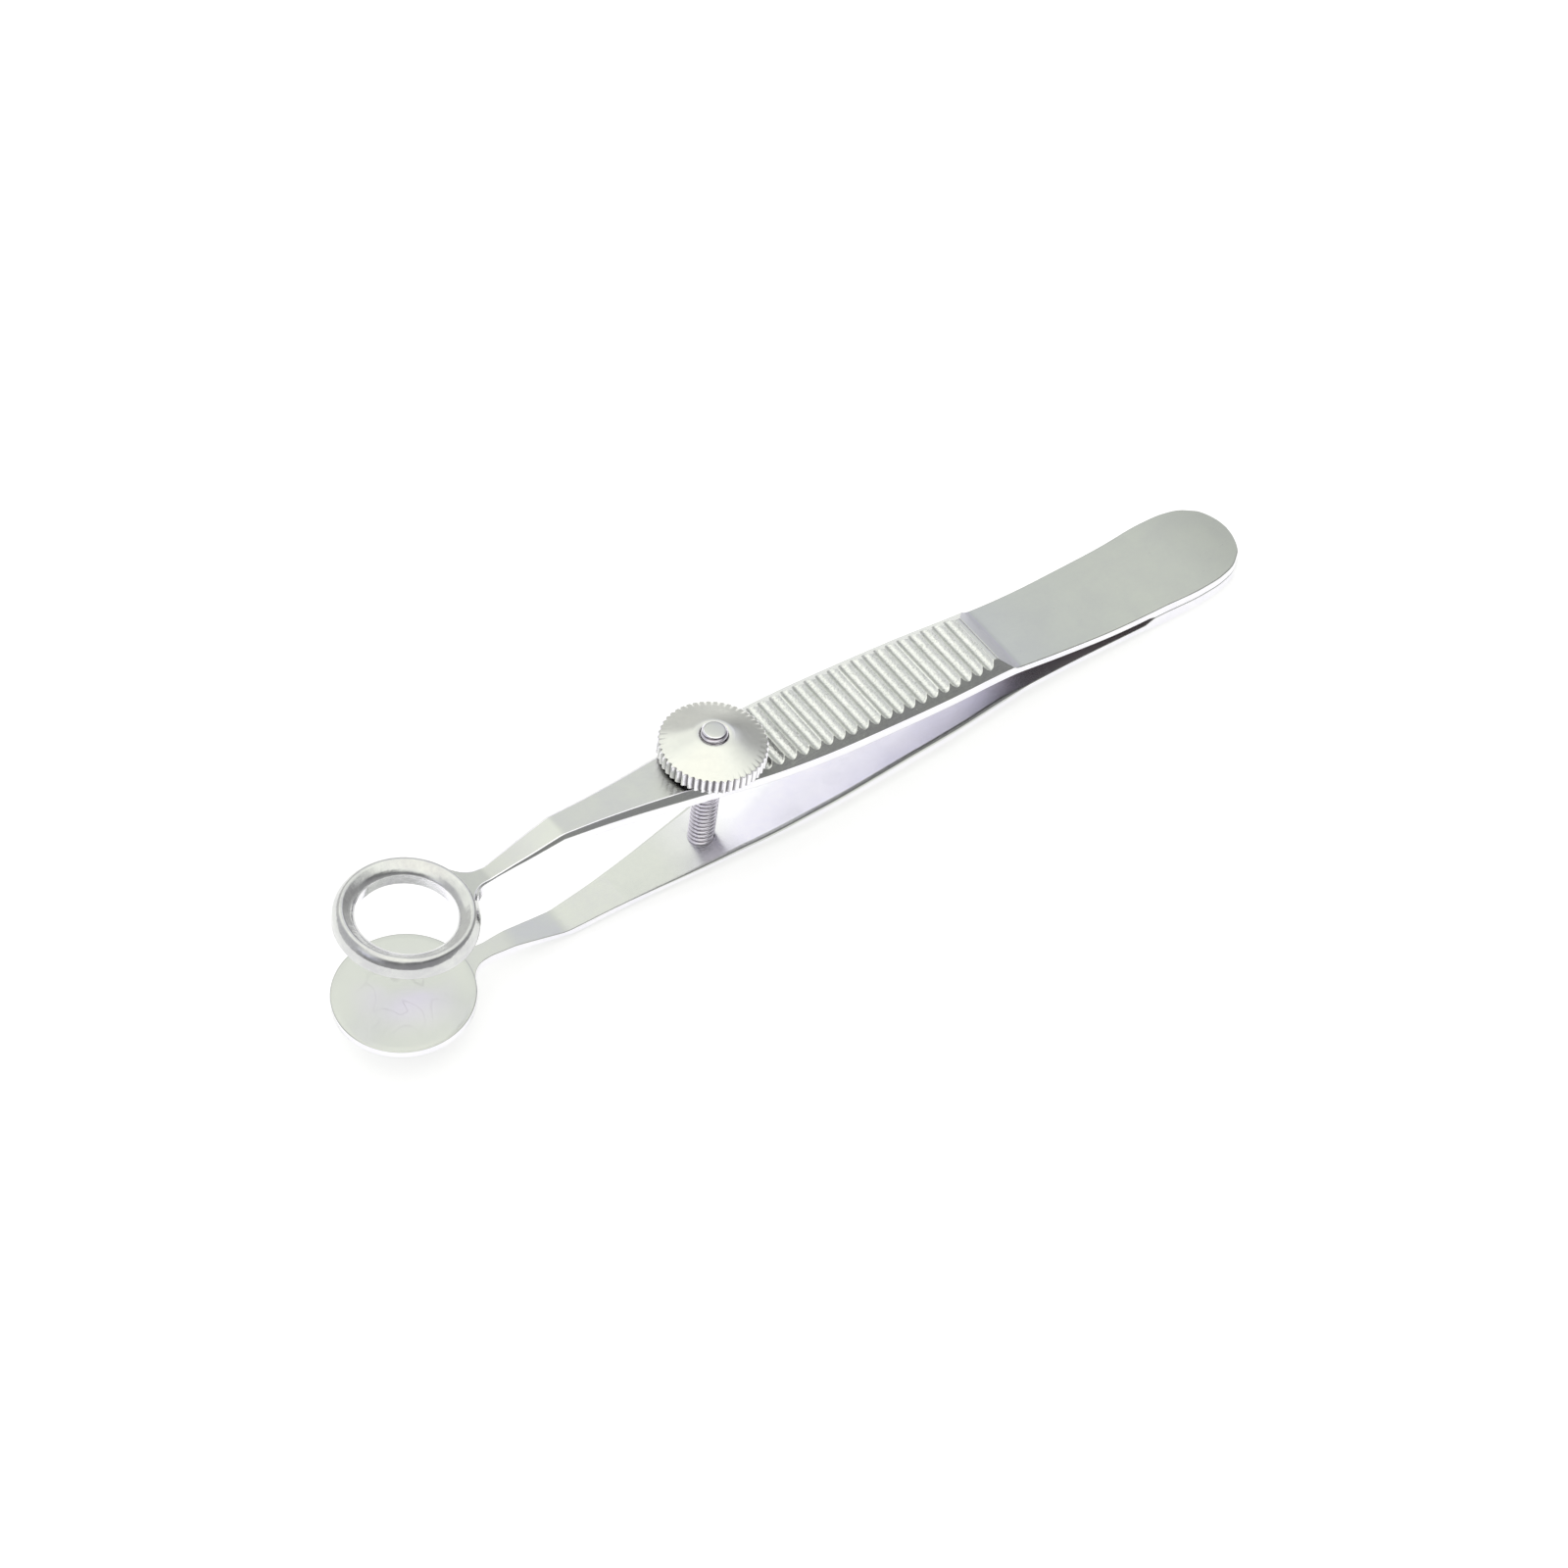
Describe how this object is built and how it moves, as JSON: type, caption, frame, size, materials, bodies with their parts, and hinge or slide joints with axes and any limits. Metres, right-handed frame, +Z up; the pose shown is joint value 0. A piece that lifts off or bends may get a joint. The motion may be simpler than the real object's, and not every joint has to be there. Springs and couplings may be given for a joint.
{
  "type": "chalazion clamp",
  "caption": "Small sprung eyelid clamp: a flat round plate on the lower arm, an open ring on the upper arm, closed by a knurled thumb nut on a threaded stud.",
  "frame": {"origin": "middle of the clamp's length and width, at the level of the surface it lies on", "axes": "+X from the plate and ring to the joined tail, +Z up through the stud, XZ is the plane of symmetry"},
  "size_m": [0.0876, 0.0114, 0.0145],
  "materials": {
    "arm_steel": "satin",
    "screw_steel": "polished",
    "nut_steel": "turned satin"
  },
  "bodies": {
    "base": {"lower_arm": "arm_steel", "threaded_stud": "screw_steel"},
    "arm": {"upper_arm": "arm_steel"},
    "washer": {"seat_washer": "screw_steel"},
    "nut": {"thumb_nut": "nut_steel"}
  },
  "joints": [
    {"name": "arm_close", "type": "hinge", "parent": "base", "child": "arm", "pos_m": [0.03315, 0, 0.00145], "axis": [0, -1, 0], "range_deg": [0, 6.85]},
    {"name": "nut_travel", "type": "slide", "parent": "base", "child": "washer", "axis": [-0.1564, 0, -0.9877], "range_m": [0, 0.0049]},
    {"name": "nut_spin", "type": "hinge", "parent": "washer", "child": "nut", "pos_m": [-0.00985, 0, 0.0016], "axis": [-0.1564, 0, -0.9877], "range_deg": [0, 3920]}
  ],
  "couplings": [
    {"joint": "arm_close", "follows": "nut_travel", "rad_per_m": 24.399},
    {"joint": "nut_spin", "follows": "nut_travel", "rad_per_m": 13962}
  ]
}
